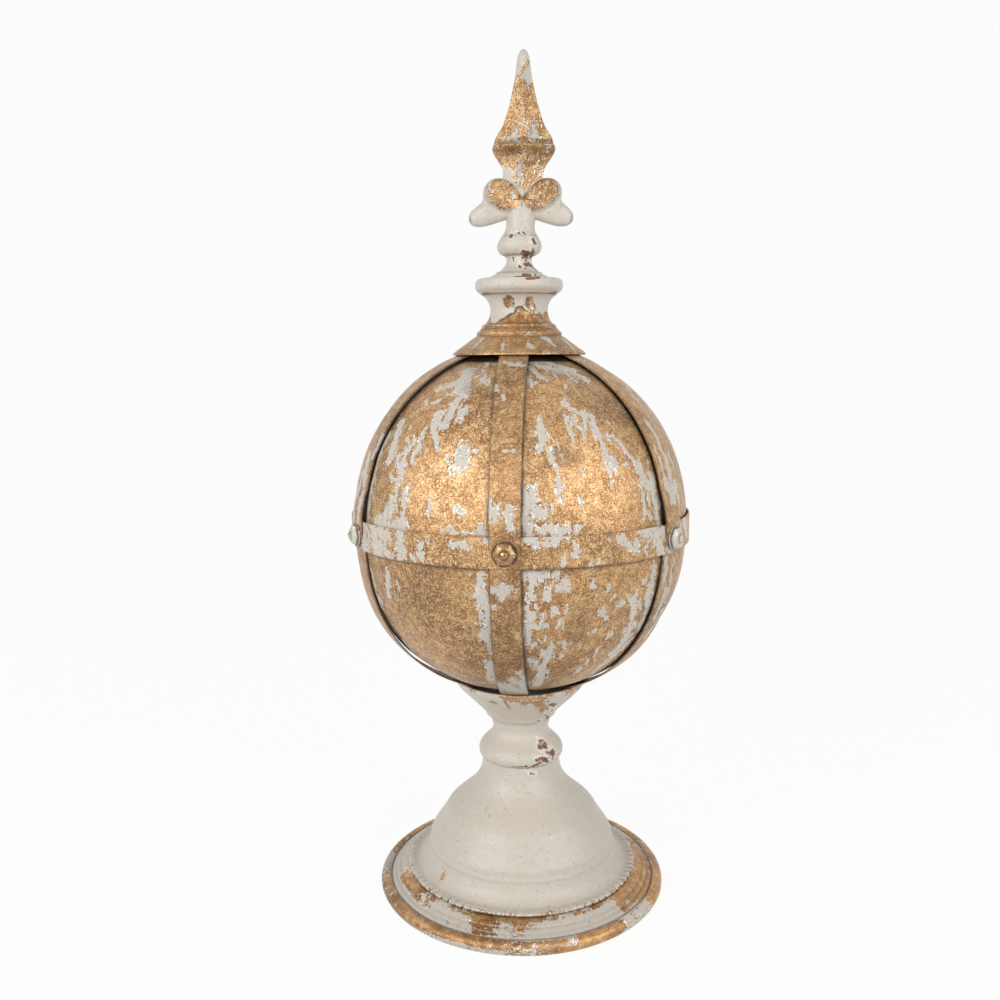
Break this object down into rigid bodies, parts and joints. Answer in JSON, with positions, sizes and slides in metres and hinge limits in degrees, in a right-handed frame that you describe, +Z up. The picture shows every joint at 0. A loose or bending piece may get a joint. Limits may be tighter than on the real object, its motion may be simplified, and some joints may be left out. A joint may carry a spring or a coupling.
{
  "type": "roof finial",
  "caption": "Ball finial on a spun round foot: strapped sheet-metal ball with a hoop, moulded cap and collar, and a fleur-de-lis spear, in worn gold and greige paint.",
  "frame": {"origin": "centre of the foot's underside, on the surface it stands on", "axes": "+Z up along the finial's axis to the spear tip, -Y towards the front, +X to the right"},
  "size_m": [0.185, 0.1956, 0.458],
  "materials": {
    "worn_gold_paint": "rubbed antique gold paint with a soft metallic sheen, chipped through to greige primer in streaks and patches",
    "greige_paint": "matt chalky greige paint, lightly flaked, with gold showing through in places and rust at the joints",
    "gilded_bolt": "gold-painted domed bolt head, darker and shinier than the sheet"
  },
  "bodies": {
    "root": {"foot_plate": "worn_gold_paint", "foot_bell": "greige_paint", "stem_cup": "greige_paint", "ball_panel_1": "worn_gold_paint", "ball_panel_2": "worn_gold_paint", "ball_panel_3": "worn_gold_paint", "ball_panel_4": "worn_gold_paint", "ball_panel_5": "worn_gold_paint", "ball_panel_6": "worn_gold_paint", "lower_strap_1": "worn_gold_paint", "lower_strap_2": "worn_gold_paint", "lower_strap_3": "worn_gold_paint", "lower_strap_4": "worn_gold_paint", "lower_strap_5": "worn_gold_paint", "lower_strap_6": "worn_gold_paint", "hoop": "worn_gold_paint", "upper_strap_1": "worn_gold_paint", "upper_strap_2": "worn_gold_paint", "upper_strap_3": "worn_gold_paint", "upper_strap_4": "worn_gold_paint", "upper_strap_5": "worn_gold_paint", "upper_strap_6": "worn_gold_paint", "bolt_1": "gilded_bolt", "bolt_2": "gilded_bolt", "bolt_3": "gilded_bolt", "bolt_4": "gilded_bolt", "bolt_5": "gilded_bolt", "bolt_6": "gilded_bolt", "cap": "worn_gold_paint", "collar": "greige_paint", "fleur_spear": "worn_gold_paint"}
  },
  "joints": []
}
